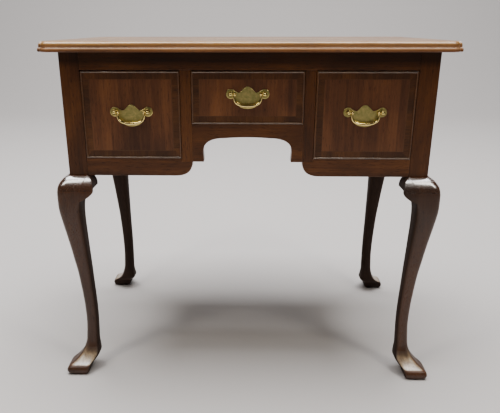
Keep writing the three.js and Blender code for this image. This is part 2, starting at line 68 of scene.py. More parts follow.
post_width = 0.0375
leg_sides = 40
leg_cuts_between_stations = 3
post_squareness = 50
hairs_breadth = 0.0001
merged_within = 0.00001
flat_within = radians(0.5)
# Shares of the leg's height, of its reach outwards and of the post's width inwards, then the
# squareness of the section, and of those corners that meet the ears
leg_stations = (
    (0, 0.874, 0.16, 6, 6), (0.007, 0.939, 0.24, 7, 7), (0.022, 1, 0.31, 8, 8),
    (0.038, 0.949, 0.33, 8, 8), (0.0473, 0.825, 0.39, 7, 7), (0.0586, 0.615, 0.55, 6, 6),
    (0.0766, 0.394, 0.73, 5, 5), (0.0946, 0.237, 0.745, 4.2, 4.2), (0.117, 0.113, 0.735, 3.4, 3.4),
    (0.144, 0.022, 0.71, 2.9, 2.9), (0.185, -0.022, 0.728, 2.6, 2.6),
    (0.2545, -0.065, 0.747, 2.6, 2.6), (0.322, -0.054, 0.747, 2.7, 2.7),
    (0.39, -0.016, 0.728, 2.8, 2.8), (0.457, 0.046, 0.7, 2.9, 2.9), (0.5225, 0.115, 0.679, 3, 3),
    (0.588, 0.219, 0.655, 3.1, 3.1), (0.651, 0.317, 0.63, 3.2, 3.2), (0.714, 0.427, 0.61, 3.3, 3.3),
    (0.775, 0.539, 0.591, 3.4, 3.4), (0.8356, 0.642, 0.596, 3.6, 3.6),
    (0.865, 0.664, 0.597, 3.8, 6), (0.892, 0.664, 0.625, 4, 14), (0.9167, 0.658, 0.69, 4.4, 14),
    (0.937, 0.645, 0.787, 4.8, 14), (0.955, 0.597, 0.88, 5.2, 14), (0.9685, 0.516, 0.94, 6, 14),
    (0.982, 0.391, 0.987, 7, 14), (0.991, 0.281, 1, 8, 14), (1, 0.086, 1, 10, 14),
)
# Where the legs are rubbed, waxed and scuffed, by height and by how far a face looks up; on the
# feet the rubbed colour is partly scuffing and partly a painted highlight on the faces that look
# up, and on the front feet on those that look forward
corner_share = 0.55
corner_wear = 0.3
unworn_below_top = 0.01
knee_shine_foot = 0.4
knee_shine_slope = 0.15
toe_height = 0.021
foot_wear_and_sheen_top = 0.06
foot_wear_and_sheen_fade = 0.012
foot_wear_and_sheen_slope = 0.4
foot_wear_and_sheen_slope_range = 0.25
foot_shine_slope = 0.35
foot_side_wear_and_sheen = 0.5
foot_front_gain = 3
least_foot_wear_and_sheen = 0.1
# which faces count as turned towards the middle: they are made dull, and darker as painted shade
dull_and_shade_turn = 0.35
dull_and_shade_turn_range = 0.4
post_face, knee_face, foot_face = 1, 2, 3

# The figure of the wood: how often per metre it repeats, across and along the fibres, then how
# much of the tone it makes up and where along the tone its dark, middle and light colours stand
patch_rate, stripe_rate, streak_rate = (13, 5), (75, 4), (330, 9)
fibre_rate, pore_rate, scuff_rate, plane_rate = (1500, 45), (900, 75), (160, 60), (38, 16)
patch_share, stripe_share, streak_share = 0.52, 0.3, 0.18
dark_stop, middle_stop, light_stop = 0.36, 0.5, 0.66
# The span of each pattern that shows, how strongly, and how much duller it makes the polish
fibre_range, patch_range = (0.3, 0.7), (0.35, 0.65)
pore_range, scuff_range = (0.60, 0.70), (0.3, 0.62)
fibre_darkness, pore_darkness, wear_and_sheen_strength, painted_inner_shade_darkness = 0.35, 0.6, 0.7, 0.75
pore_shade, painted_inner_shade, painted_overhang_shade = 0.35, 0.4, 0.2
fibre_dullness, patch_dullness = (-0.05, 0.07), (0.04, -0.04)
pore_dullness, dry_dullness = 0.2, 0.55
least_scuff = 0.3
fibre_height = 0.4
# the heights and strength of the painted shade just under the top's overhang
painted_overhang_shade_heights = (0.652, 0.664)
painted_overhang_shade_darkness = 0.75


def add(tree, kind, inputs=None, **settings):
    made = tree.nodes.new("ShaderNode" + kind)
    for setting, value in settings.items():
        setattr(made, setting, value)
    for socket, value in (inputs or {}).items():
        if isinstance(value, bpy.types.NodeSocket):
            tree.links.new(value, made.inputs[socket])
        else:
            made.inputs[socket].default_value = value
    return made


def tinted(tree, amount, under, over):
    # sockets of the colour mixer: 0 is the amount, 6 and 7 are the two colours, 2 the result
    mixer = add(tree, "Mix", {0: amount, 6: under, 7: over}, data_type="RGBA", blend_type="MIX")
    return mixer.outputs[2]


def ranged(tree, value, low, high, to_low=0.0, to_high=1.0):
    limits = {"Value": value, "From Min": low, "From Max": high}
    limits.update({"To Min": to_low, "To Max": to_high})
    return add(tree, "MapRange", limits).outputs["Result"]


def worked(tree, way, first, second):
    return add(tree, "Math", {0: first, 1: second}, operation=way).outputs["Value"]


def times(tree, first, second):
    return worked(tree, "MULTIPLY", first, second)


def plus(tree, first, second):
    return worked(tree, "ADD", first, second)


def darker(tone, share):
    return (*(share * part for part in tone), 1)


def new_material(name):
    material = bpy.data.materials.new(name)
    material.use_nodes = True
    tree = material.node_tree
    return material, tree, tree.nodes["Principled BSDF"]


def wood(
    name, grain, tones, seed, roughness=0.36, gloss=0.22, wax=0.1, wax_roughness=0.12,
    wax_refraction=1.5, pore_depth=0.00012, wave=0.00025,
):
    # tones are dark, middle, light and worn; grain is the axis that the fibres follow. On the case
    # just under the top, a painted shade darkens the wood where the top's overhang casts its
    # shadow.
    material, tree, shader = new_material(name)
    place = add(tree, "TexCoord").outputs["Object"]

    def noise(rate, detail, rough, twist=0.0):
        scale = [rate[0]] * 3
        scale["XYZ".index(grain)] = rate[1]
        shift = (seed, seed * 1.7, seed * 0.6)
        spot = add(tree, "Mapping", {"Vector": place, "Location": shift, "Scale": scale})
        settings = {"Vector": spot.outputs["Vector"], "Scale": 1, "Detail": detail}
        settings.update({"Roughness": rough, "Distortion": twist})
        return add(tree, "TexNoise", settings).outputs["Fac"]

    dark, middle, light, worn_and_sheen = tones
    patches = noise(patch_rate, detail=2, rough=0.5, twist=0.5)
    stripes = noise(stripe_rate, detail=3, rough=0.6)
    streaks = noise(streak_rate, detail=2, rough=0.6)
    fibres = noise(fibre_rate, detail=2, rough=0.7)
    pores = ranged(tree, noise(pore_rate, detail=1, rough=0.5), *pore_range)
    tone = times(tree, patches, patch_share)
    tone = plus(tree, tone, times(tree, stripes, stripe_share))
    tone = plus(tree, tone, times(tree, streaks, streak_share))
    ramp = add(tree, "ValToRGB", {"Fac": tone})
    ramp.color_ramp.elements[0].position = dark_stop
    ramp.color_ramp.elements[0].color = (*dark, 1)
    ramp.color_ramp.elements[1].position = light_stop
    ramp.color_ramp.elements[1].color = (*light, 1)
    ramp.color_ramp.elements.new(middle_stop).color = (*middle, 1)
    body = ramp.outputs["Color"]
    body = tinted(tree, ranged(tree, fibres, *fibre_range, 0, fibre_darkness), body, (*dark, 1))
    body = tinted(tree, times(tree, pores, pore_darkness), body, darker(dark, pore_shade))
    # the rubbed colour is real wear, and on the feet and on the top's rolls it is also a painted
    # highlight
    rubbed_and_sheen = add(tree, "Attribute", attribute_name="wear_and_painted_sheen").outputs["Fac"]
    scuffs = ranged(tree, noise(scuff_rate, detail=3, rough=0.7), *scuff_range, least_scuff)
    rubbed_and_sheen = times(tree, rubbed_and_sheen, scuffs)
    body = tinted(tree, times(tree, rubbed_and_sheen, wear_and_sheen_strength), body, (*worn_and_sheen, 1))
    unpolished_and_shade = add(tree, "Attribute", attribute_name="unpolished_and_shade").outputs["Fac"]
    # painted shade: the faces turned towards the middle are darkened
    body = tinted(tree, times(tree, unpolished_and_shade, painted_inner_shade_darkness), body, darker(dark, painted_inner_shade))
    # painted shade: the case darkens just under the top, where the overhang shades it; the top's
    # own finishes are left out
    if not name.startswith("top_"):
        height = add(tree, "SeparateXYZ", {"Vector": place}).outputs["Z"]
        overhang_shadow = times(tree, ranged(tree, height, *painted_overhang_shade_heights), painted_overhang_shade_darkness)
        body = tinted(tree, overhang_shadow, body, darker(dark, painted_overhang_shade))
    tree.links.new(body, shader.inputs["Base Color"])

    dull = plus(tree, ranged(tree, fibres, *fibre_range, *fibre_dullness), roughness)
    dull = plus(tree, dull, ranged(tree, patches, *patch_range, *patch_dullness))
    dull = plus(tree, dull, times(tree, pores, pore_dullness))
    dull = plus(tree, dull, times(tree, unpolished_and_shade, dry_dullness))
    tree.links.new(dull, shader.inputs["Roughness"])
    planing = noise(plane_rate, detail=1, rough=0.4)
    planed = {"Height": planing, "Strength": 1, "Distance": wave}
    surface = add(tree, "Bump", planed).outputs["Normal"]
    hollows = worked(tree, "SUBTRACT", times(tree, fibres, fibre_height), pores)
    pitted = {"Height": hollows, "Strength": 1, "Distance": pore_depth, "Normal": surface}
    tree.links.new(add(tree, "Bump", pitted).outputs["Normal"], shader.inputs["Normal"])
    shader.inputs["Specular IOR Level"].default_value = gloss
    shader.inputs["Coat Weight"].default_value = wax
    shader.inputs["Coat Roughness"].default_value = wax_roughness
    shader.inputs["Coat IOR"].default_value = wax_refraction
    return material


def new_object(bm, name, finishes):
    # spinning and cutting leave the faces in any order, so they are put in order of their corners
    bm.verts.index_update()
    in_order = sorted(bm.faces, key=lambda face: [vert.index for vert in face.verts])
    for place, face in enumerate(in_order):
        face.index = place
    bm.faces.sort()
    mesh = bpy.data.meshes.new(name)
    bm.to_mesh(mesh)
    bm.free()
    for finish in finishes:
        mesh.materials.append(finish)
    made = bpy.data.objects.new(name, mesh)
    bpy.context.scene.collection.objects.link(made)
    return made


def fitted(bm, name, finishes, body, nodes, limit=50):
    # the mesh becomes a piece that rides with its body and stands for its nodes, and its edges
    # are shaded as corners where they turn by more than the limit
    bm.normal_update()
    for face in bm.faces:
        face.smooth = True
    for edge in bm.edges:
        edge.smooth = len(edge.link_faces) == 2 and edge.calc_face_angle(0) < radians(limit)
    piece = new_object(bm, name, finishes)
    shading = piece.modifiers.new("even_shading", "WEIGHTED_NORMAL")
    shading.keep_sharp = True
    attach(piece, body)
    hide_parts(*nodes)


def face_outwards(bm):
    bm.normal_update()
    bmesh.ops.recalc_face_normals(bm, faces=bm.faces[:])
    bm.normal_update()


def vertex_values(bm, name):
    return bm.verts.layers.float.get(name) or bm.verts.layers.float.new(name)


def clamped(value, low=0):
    return min(max(value, low), 1)


def dull_and_shade_inner_faces(bm, towards_x, towards_y):
    # the faces that look towards the middle are left unpolished and dull, and their colour is
    # darkened as painted shade
    bm.normal_update()
    unpolished_and_shade = vertex_values(bm, "unpolished_and_shade")
    for vert in bm.verts:
        turned_in = max(vert.normal.x * towards_x, vert.normal.y * towards_y)
        vert[unpolished_and_shade] = clamped((turned_in - dull_and_shade_turn) / dull_and_shade_turn_range)


def merged_copy(node):
    bm = bmesh.new()
    bm.from_mesh(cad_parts[node].data)
    bmesh.ops.remove_doubles(bm, verts=bm.verts[:], dist=merged_within)
    bmesh.ops.dissolve_limit(
        bm, angle_limit=flat_within, use_dissolve_boundaries=False,
        verts=bm.verts[:], edges=bm.edges[:], delimit=set(),
    )
    return bm


def ease(bm, width, steps=2, limit=32, pick=lambda edge: True):
    # rounds the sharp outer edges that pick chooses, and marks their middles as rubbed
    rubbed_and_sheen = vertex_values(bm, "wear_and_painted_sheen")
    sharp = [
        edge for edge in bm.edges
        if len(edge.link_faces) == 2 and edge.is_convex
        and edge.calc_face_angle(0) > radians(limit) and pick(edge)
    ]
    cut = bmesh.ops.bevel(
        bm, geom=sharp, offset=width, offset_type="OFFSET", affect="EDGES", segments=steps,
        profile=0.5, material=-1, clamp_overlap=True,
    )
    faces = set(cut["faces"])
    for vert in cut["verts"]:
        if all(face in faces for face in vert.link_faces):
            vert[rubbed_and_sheen] = 1.0


def station_at(share):
    # the leg's section at a share of its height, on a smooth curve through the stations
    last = len(leg_stations) - 2
    i = max(n for n in range(last + 1) if leg_stations[n][0] <= share or n == 0)
    a, b = leg_stations[i], leg_stations[i + 1]
    before, after = leg_stations[max(i - 1, 0)], leg_stations[min(i + 2, last + 1)]
    span = b[0] - a[0]
    t = (share - a[0]) / span
    section = []
    for start, end, earlier, later in zip(a[1:], b[1:], before[1:], after[1:]):
        rise = span * (end - earlier) / (b[0] - before[0])
        fall = span * (later - start) / (after[0] - a[0])
        swing = (t ** 3 - 2 * t ** 2 + t) * rise + (t ** 3 - t ** 2) * fall
        level = (2 * t ** 3 - 3 * t ** 2 + 1) * start + (3 * t ** 2 - 2 * t ** 3) * end
        section.append(level + swing)
    return section


leg_levels = []
for lower, upper in zip(leg_stations, leg_stations[1:]):
    for cut in range(leg_cuts_between_stations):
        share = lower[0] + (upper[0] - lower[0]) * cut / leg_cuts_between_stations
        leg_levels.append((share * leg_height, *station_at(share)))
leg_levels.append((leg_height, *leg_stations[-1][1:]))
leg_levels.append((leg_height + hairs_breadth, 0, 1, post_squareness, post_squareness))
leg_levels.append((case_top, 0, 1, post_squareness, post_squareness))


def bulge(value, squareness):
    return (1 if value > 0 else -1) * abs(value) ** (2 / squareness)


def cut_column(bm, sides, levels, turn=0):
    # an upright column of radius 1 with a cut at every whole level, ready to be pushed to shape
    bmesh.ops.create_cone(
        bm, cap_ends=True, segments=sides, radius1=1, radius2=1, depth=levels,
        matrix=Matrix.Translation((0, 0, levels / 2)) @ Matrix.Rotation(turn, 4, "Z"),
    )
    for level in range(1, levels):
        everything = bm.verts[:] + bm.edges[:] + bm.faces[:]
        bmesh.ops.bisect_plane(bm, geom=everything, plane_co=(0, 0, level), plane_no=(0, 0, 1))


def looks_forward(normal):
    return abs(normal.y) - abs(normal.x)


def shape_leg(bm, towards_x, towards_y):
    # pushes a column out to the section of every level, then marks wear, which on the feet is also
    # a painted highlight, and gives the finishes
    cut_column(bm, leg_sides, len(leg_levels) - 1, pi / leg_sides)
    rubbed_and_sheen = vertex_values(bm, "wear_and_painted_sheen")
    for vert in bm.verts:
        height, out, inwards, squareness, ear_squareness = leg_levels[round(vert.co.z)]
        outer, inner = -leg_reach * out, post_width * inwards
        middle, half = (outer + inner) / 2, (inner - outer) / 2
        away = vert.co.x < 0 and vert.co.y < 0
        power = squareness if away else ear_squareness
        x = middle + half * bulge(vert.co.x, power)
        y = middle + half * bulge(vert.co.y, power)
        at_corner = min(abs(vert.co.x), abs(vert.co.y)) > corner_share
        if at_corner and height < case_top - unworn_below_top:
            vert[rubbed_and_sheen] = corner_wear
        vert.co = (towards_x * (x - case_half_width), towards_y * (y + case_front), height)
    face_outwards(bm)
    dull_and_shade_inner_faces(bm, towards_x, towards_y)
    in_front = towards_y > 0
    # the feet's faces that look up, and on the front feet those that look forward, get the rubbed
    # colour: scuffing, and a painted highlight
    for vert in bm.verts:
        if toe_height < vert.co.z < foot_wear_and_sheen_top:
            fade = clamped((foot_wear_and_sheen_top - vert.co.z) / foot_wear_and_sheen_fade)
            worn_and_sheen = clamped((vert.normal.z - foot_wear_and_sheen_slope) / foot_wear_and_sheen_slope_range, least_foot_wear_and_sheen)
            if in_front:
                forward_wear_and_sheen = foot_side_wear_and_sheen + foot_front_gain * looks_forward(vert.normal)
                worn_and_sheen *= clamped(forward_wear_and_sheen, least_foot_wear_and_sheen)
            vert[rubbed_and_sheen] = fade * worn_and_sheen
    for face in bm.faces:
        height = face.calc_center_median().z
        if height > leg_height + hairs_breadth / 2:
            face.material_index = post_face
        elif height > knee_shine_foot and face.normal.z > knee_shine_slope:
            face.material_index = knee_face
        elif toe_height < height < foot_wear_and_sheen_top and face.normal.z > foot_shine_slope:
            if not in_front or looks_forward(face.normal) > 0:
                face.material_index = foot_face


rubbed_brown = (0.24, 0.11, 0.045)
leg_tones = (
    (0.030, 0.0130, 0.0066), (0.058, 0.0235, 0.0105), (0.096, 0.037, 0.0152), rubbed_brown,
)
case_tones = (
    (0.040, 0.014, 0.0045), (0.095, 0.031, 0.0075), (0.190, 0.066, 0.015), rubbed_brown,
)
# the feet's worn tone is pale: partly scuffing, partly a painted highlight
foot_wear_and_sheen_tones = (*leg_tones[:3], (0.46, 0.33, 0.18))
leg_seed = 21.0
thick_wax_refraction = 2.0
leg_finish = wood(
    "leg_mahogany", "Z", leg_tones, leg_seed, roughness=0.32, wax=0.0, gloss=0.36,
)
foot_finish = wood(
    "scuffed_and_sheen_mahogany", "Z", foot_wear_and_sheen_tones, leg_seed, roughness=0.32, wax=0.7, gloss=0.6,
    wax_roughness=0.26, wax_refraction=thick_wax_refraction,
)
knee_finish = wood(
    "burnished_mahogany", "Z", leg_tones, leg_seed, roughness=0.2, wax=1.0, gloss=1.0,
    wax_refraction=thick_wax_refraction,
)
leg_corners = {
    "front_left": (1, 1), "front_right": (-1, 1), "rear_left": (1, -1), "rear_right": (-1, -1),
}
for number, (corner, (towards_x, towards_y)) in enumerate(leg_corners.items()):
    bm = bmesh.new()
    shape_leg(bm, towards_x, towards_y)
    seed = 3.1 * number + 2
    post_finish = wood(f"post_mahogany_{corner}", "Z", case_tones, seed)
    finishes = [leg_finish, post_finish, knee_finish, foot_finish]
    fitted(bm, f"shaped_leg_{corner}", finishes, "case", [f"leg_{corner}"])

# The ears: blocks of the same dark wood, sawn to a lobe and glued on both sides of each knee,
# then carved down to the knee's own curve.
ear_arris = 0.0022
ear_shine_turn = 0.2
ear_shine_face = 1
ears = [f"knee_ear_side_{corner}" for corner in leg_corners]
ears += ["knee_ear_front_left", "knee_ear_front_right"]
for ear in ears:
    bm = merged_copy(ear)
    ease(bm, ear_arris)
    towards_x = 1 if ear.endswith("left") else -1
    towards_y = -1 if "rear" in ear else 1
    dull_and_shade_inner_faces(bm, towards_x, towards_y)
    for face in bm.faces:
        turned_out = max(-face.normal.x * towards_x, -face.normal.y * towards_y)
        if face.normal.z > knee_shine_slope and turned_out > ear_shine_turn:
            face.material_index = ear_shine_face
    fitted(bm, f"carved_{ear}", [leg_finish, knee_finish], "case", [ear], limit=40)

# The case boards: mahogany side panels, rails, dividers and the sawn apron, tenoned and glued
# between the posts. Long use has rubbed their edges a little lighter.
board_arris = 0.0007
case_boards = {
    "side_panel_left": "Y", "side_panel_right": "Y", "front_top_rail": "X", "arch_apron": "X",
    "lower_rail_left": "X", "lower_rail_right": "X", "divider_left": "Z", "divider_right": "Z",
}
for number, (board, grain) in enumerate(case_boards.items()):
    bm = merged_copy(board)
    ease(bm, board_arris)
    finish = wood(f"{board}_mahogany", grain, case_tones, 40 + 5.3 * number)
    fitted(bm, f"planed_{board}", [finish], "case", [board])

# The back and the runners: plain oak, left rough from the saw and dry, because nobody sees it.
# The back stands between the rear posts, and the runners are glued along the sides and dividers.
rough_arris = 0.0006
oak_tones = (
    (0.115, 0.066, 0.034), (0.205, 0.125, 0.066), (0.30, 0.19, 0.105), (0.40, 0.28, 0.17),
)
sawn_surface = {"roughness": 0.7, "wax": 0.0, "pore_depth": 0.0003}
oak_along_x = wood("rough_oak_x", "X", oak_tones, 5.0, **sawn_surface)
oak_along_y = wood("rough_oak_y", "Y", oak_tones, 9.0, **sawn_surface)
back_and_runners = {"back_panel": oak_along_x}
for side in ("left", "right"):
    for run in ("outer", "inner", "centre"):
        back_and_runners[f"runner_{run}_{side}"] = oak_along_y
for board, finish in back_and_runners.items():
    bm = merged_copy(board)
    ease(bm, rough_arris)
    fitted(bm, f"sawn_{board}", [finish], "case", [board])

# The drawer linings: thin oak sides dovetailed to the front, a bottom raised on a rebate, and a
# back that stands on it. They are planed smooth, and only their edges behind the joint are eased.
lining_arris = 0.0005
joint_length = 0.03
lining_tones = (
    (0.14, 0.082, 0.042), (0.235, 0.148, 0.080), (0.33, 0.215, 0.12), (0.42, 0.30, 0.18),
)
lining_along_x = wood("lining_oak_x", "X", lining_tones, 15.0, roughness=0.6, wax=0.0)
lining_along_y = wood("lining_oak_y", "Y", lining_tones, 19.0, roughness=0.6, wax=0.0)
linings = {
    "side_left": lining_along_y, "side_right": lining_along_y, "back": lining_along_x,
    "bottom": lining_along_x,
}
drawers = ("left", "centre", "right")
for side in drawers:
    for board, finish in linings.items():
        node = f"drawer_{side}_{board}"
        joint_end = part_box(node)[0][1] + joint_length
        bm = merged_copy(node)
        ease(bm, lining_arris, pick=lambda edge: all(vert.co.y > joint_end for vert in edge.verts))
        fitted(bm, f"planed_{node}", [finish], f"drawer_{side}", [node])

# The drawer fronts: mahogany with upright figure inside a darker band laid across the grain,
# and a thin rounded bead worked round the edge. A fine joint line shows where the band ends.
bead_proud = 0.0018
bead_round = 0.0012
band_width = 0.0145
joint_width = 0.0007
front_tones = (
    (0.056, 0.0210, 0.0095), (0.134, 0.049, 0.0185), (0.255, 0.096, 0.0330), rubbed_brown,
)
band_tones = (
    (0.036, 0.014, 0.005), (0.080, 0.029, 0.009), (0.145, 0.054, 0.015), rubbed_brown,
)
bead_tones = ((0.04, 0.015, 0.006), (0.07, 0.026, 0.009), (0.10, 0.04, 0.014), (0.46, 0.33, 0.22))
bead_finish = wood("bead_mahogany", "X", bead_tones, 71.0, roughness=0.22, wax=1.0, gloss=0.8)
band_upright = wood("band_mahogany_z", "Z", band_tones, 75.0)
band_level = wood("band_mahogany_x", "X", band_tones, 79.0)
joint_tones = ((0.06, 0.025, 0.011), (0.10, 0.045, 0.02), (0.14, 0.07, 0.032), rubbed_brown)
joint_finish = wood("joint_line", "Z", joint_tones, 83.0)
field_face, bead_face, upright_face, level_face, joint_face = range(5)


def inlay(bm, low, high, face_y):
    # cuts the front face along the band, and gives the bead and each part its own finish
    for inset in (band_width, band_width + joint_width):
        planes = (
            ((low.x + inset, 0, 0), (1, 0, 0)), ((high.x - inset, 0, 0), (1, 0, 0)),
            ((0, 0, low.z + inset), (0, 0, 1)), ((0, 0, high.z - inset), (0, 0, 1)),
        )
        for place, normal in planes:
            flat = [f for f in bm.faces if abs(f.calc_center_median().y - face_y) < hairs_breadth]
            edges = dict.fromkeys(edge for face in flat for edge in face.edges)
            verts = dict.fromkeys(vert for face in flat for vert in face.verts)
            bmesh.ops.bisect_plane(
                bm, geom=[*flat, *edges, *verts], plane_co=place, plane_no=normal,
            )
    for face in bm.faces:
        centre = face.calc_center_median()
        from_side = min(centre.x - low.x, high.x - centre.x)
        from_end = min(centre.z - low.z, high.z - centre.z)
        nearest = min(from_side, from_end)
        if centre.y < face_y - hairs_breadth:
            level = from_end < from_side - bead_proud
            face.material_index = bead_face if level else upright_face
        elif centre.y > face_y + hairs_breadth or nearest > band_width + joint_width:
            face.material_index = field_face
        elif nearest > band_width:
            face.material_index = joint_face
        else:
            face.material_index = level_face if from_side < from_end else upright_face


for side, seed in zip(drawers, (90.0, 97.5, 104.0)):
    node = f"drawer_{side}_front"
    low, high = (Vector(corner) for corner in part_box(node))
    bm = merged_copy(node)
    ease(
        bm, bead_round, steps=3,
        pick=lambda edge: all(vert.co.y < low.y + hairs_breadth for vert in edge.verts),
    )
    inlay(bm, low, high, low.y + bead_proud)
    finish = wood(f"{node}_mahogany", "Z", front_tones, seed, roughness=0.33)
    finishes = [finish, bead_finish, band_upright, band_level, joint_finish]
    fitted(bm, f"beaded_{node}", finishes, f"drawer_{side}", [node])

# The backplates: cast brass in a batwing outline, filed to a bright bevel round the edge. The
# field between has gone olive with old lacquer and tarnish.
plate_rim = 0.0006
cloud_rate, speck_rate, cast_rate = 140, 1600, 420
cloud_range, speck_range = (0.32, 0.62), (0.62, 0.72)
least_cloud = 0.45
speck_strength = 0.5
tarnish_dullness = 0.18
cast_depth = 0.0001
speck_brown = (0.10, 0.08, 0.035, 1)


def brass(name, bright, tarnished, tarnish_amount, roughness, seed):
    material, tree, shader = new_material(name)
    place = add(tree, "TexCoord").outputs["Object"]

    def noise(rate, detail, rough):
        spot = add(tree, "Mapping", {"Vector": place, "Location": (seed, -seed, seed * 0.4)})
        settings = {"Vector": spot.outputs["Vector"], "Scale": rate, "Detail": detail}
        settings["Roughness"] = rough
        return add(tree, "TexNoise", settings).outputs["Fac"]

    rubbed_and_sheen = add(tree, "Attribute", attribute_name="wear_and_painted_sheen").outputs["Fac"]
    clouds = ranged(tree, noise(cloud_rate, detail=4, rough=0.65), *cloud_range, least_cloud)
    dulled = times(tree, clouds, tarnish_amount)
    dulled = times(tree, dulled, worked(tree, "SUBTRACT", 1.0, rubbed_and_sheen))
    colour = tinted(tree, dulled, (*bright, 1), (*tarnished, 1))
    specks = ranged(tree, noise(speck_rate, detail=2, rough=0.6), *speck_range)
    colour = tinted(tree, times(tree, specks, speck_strength), colour, speck_brown)
    tree.links.new(colour, shader.inputs["Base Color"])
    dull = plus(tree, times(tree, dulled, tarnish_dullness), roughness)
    tree.links.new(dull, shader.inputs["Roughness"])
    casting = noise(cast_rate, detail=3, rough=0.5)
    cast = {"Height": casting, "Strength": 1, "Distance": cast_depth}
    tree.links.new(add(tree, "Bump", cast).outputs["Normal"], shader.inputs["Normal"])
    shader.inputs["Metallic"].default_value = 1
    return material


bright_brass = (0.86, 0.66, 0.24)
olive_brass = (0.33, 0.31, 0.10)
plate_finish = brass(
    "plate_brass", bright_brass, olive_brass, tarnish_amount=0.9, roughness=0.22, seed=4.0,
)
for side in drawers:
    node = f"handle_{side}_plate"
    plate_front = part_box(node)[0][1] + hairs_breadth
    bm = merged_copy(node)
    ease(
        bm, plate_rim, limit=30,
        pick=lambda edge: all(vert.co.y < plate_front for vert in edge.verts),
    )
    fitted(bm, f"filed_{node}", [plate_finish], f"drawer_{side}", [node], limit=60)

# The posts and nuts: turned brass bolts with a ball head that holds the bail, a collar on the
# plate, and a square nut that pulls each one tight inside the drawer.
post_turns = 28
ball_steps = 12
ball_radius = 0.0044
neck_turn = 0.66
neck_radius = 0.0027
neck_rise = 0.0003
collar_radius = 0.0044
collar_length = 0.0016
collar_round = 0.0005
shank_radius = 0.0024
pivot_stand_off = 0.009
collar_back = 0.0018
collar_front = collar_back + collar_length
bolt_end = 0.0257
nut_arris = 0.0006
pole_merged_within = 0.000001
dull_brass = (0.62, 0.49, 0.22)
post_brass = brass(
    "post_brass", bright_brass, olive_brass, tarnish_amount=0.5, roughness=0.16, seed=9.0,
)
nut_brass = brass(
    "nut_brass", dull_brass, olive_brass, tarnish_amount=1.0, roughness=0.35, seed=13.0,
)


def turned(bm, profile, middle, turns):
    # spins a line of (radius, y) points about the bolt's axis, which runs along Y
    line = [bm.verts.new((middle.x + radius, y, middle.z)) for radius, y in profile]
    edges = [bm.edges.new(pair) for pair in zip(line, line[1:])]
    bmesh.ops.spin(
        bm, geom=line + edges, cent=middle, axis=(0, 1, 0), angle=2 * pi, steps=turns,
        use_merge=True, use_duplicate=False,
    )
    bmesh.ops.remove_doubles(bm, verts=bm.verts[:], dist=pole_merged_within)
    face_outwards(bm)


post_profile = []
for step in range(ball_steps + 1):
    turn = (pi - neck_turn) * step / ball_steps
    post_profile.append((ball_radius * sin(turn), -pivot_stand_off - ball_radius * cos(turn)))
post_profile += [
    (neck_radius, -collar_front - neck_rise), (collar_radius - collar_round, -collar_front),
    (collar_radius, -collar_front + collar_round), (collar_radius, -collar_back),
    (shank_radius, -collar_back), (shank_radius, bolt_end), (0, bolt_end),
]
for side in drawers:
    for end in ("left", "right"):
        node = f"handle_{side}_post_{end}"
        low, high = (Vector(corner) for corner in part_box(node))
        bm = bmesh.new()
        profile = [(radius, case_front + y) for radius, y in post_profile]
        turned(bm, profile, (low + high) / 2, post_turns)
        fitted(bm, f"turned_{node}", [post_brass], f"drawer_{side}", [node])
        nut = f"handle_{side}_nut_{end}"
        bm = merged_copy(nut)
        ease(bm, nut_arris)
        fitted(bm, f"filed_{nut}", [nut_brass], f"drawer_{side}", [nut])

# The bails: cast brass loops that thicken towards the grip, with an eye at each end turned on a
# small pin in the ball of its post. Hands keep the grip bright.
bail_drop = 0.0215
bail_end_radius = 0.0019
bail_grip_radius = 0.0029
bail_eye_radius = 0.0027
pin_radius = 0.0012
pin_engagement = 0.003
post_half_spacing = 0.0321
bail_to_ball = 0.00035
eye_x = post_half_spacing - ball_radius - bail_to_ball - bail_eye_radius
pin_end = post_half_spacing - ball_radius + pin_engagement
bail_sides = 14
bail_steps = 44
eye_meridians, eye_parallels = 20, 12
end_wear, eye_wear = 0.4, 0.7
direction_step = 0.004
bail_path = ((-1, 0), (-1.03, -0.34), (-0.88, -0.74), (-0.48, -0.95), (0, -1))
handled_brass = (0.90, 0.70, 0.27)
bail_brass = brass(
    "bail_brass", handled_brass, olive_brass, tarnish_amount=0.3, roughness=0.15, seed=17.0,
)


def curve_point(points, share):
    # a point on the smooth curve through evenly counted points
    last = len(points) - 1
    i = min(int(share * last), last - 1)
    t = share * last - i
    p0, p1 = points[max(i - 1, 0)], points[i]
    p2, p3 = points[i + 1], points[min(i + 2, last)]
    line = 2 * p1 + (p2 - p0) * t
    line += (2 * p0 - 5 * p1 + 4 * p2 - p3) * t ** 2 + (3 * p1 - p0 - 3 * p2 + p3) * t ** 3
    return line / 2


